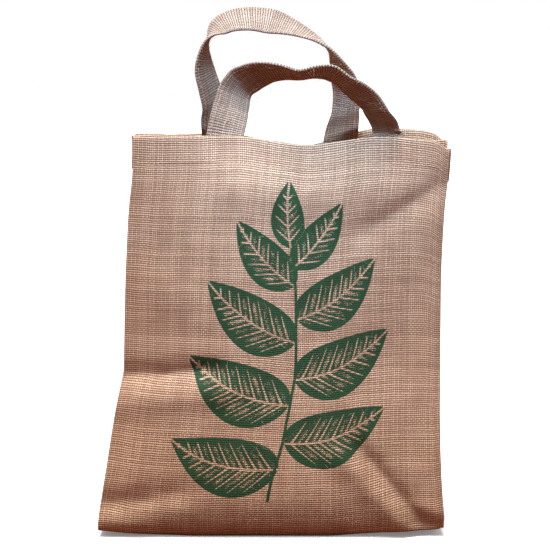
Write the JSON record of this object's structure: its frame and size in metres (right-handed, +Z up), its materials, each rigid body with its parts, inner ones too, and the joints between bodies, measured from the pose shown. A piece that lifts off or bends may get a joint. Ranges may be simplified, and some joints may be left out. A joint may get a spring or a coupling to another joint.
{
  "type": "burlap bag",
  "caption": "Burlap tote bag standing open on its folded-gusset bottom, with strap handles sewn inside its hems and a green leaf print on the front.",
  "frame": {"origin": "on the floor under the middle of the bag's bounding box", "axes": "+Z up, the printed front faces -Y, +X to the right as seen from the front"},
  "size_m": [0.3261, 0.1106, 0.489],
  "materials": {
    "front_panel": "coarse plain-weave jute with a worn green print",
    "back_panel": "coarse plain-weave jute",
    "gusset": "coarse plain-weave jute",
    "front_handle": "folded jute strap, stitched along its edges",
    "back_handle": "folded jute strap, stitched along its edges"
  },
  "bodies": {
    "root": {"front_panel": "front_panel", "back_panel": "back_panel", "gusset": "gusset", "front_handle": "front_handle", "back_handle": "back_handle"}
  },
  "joints": []
}
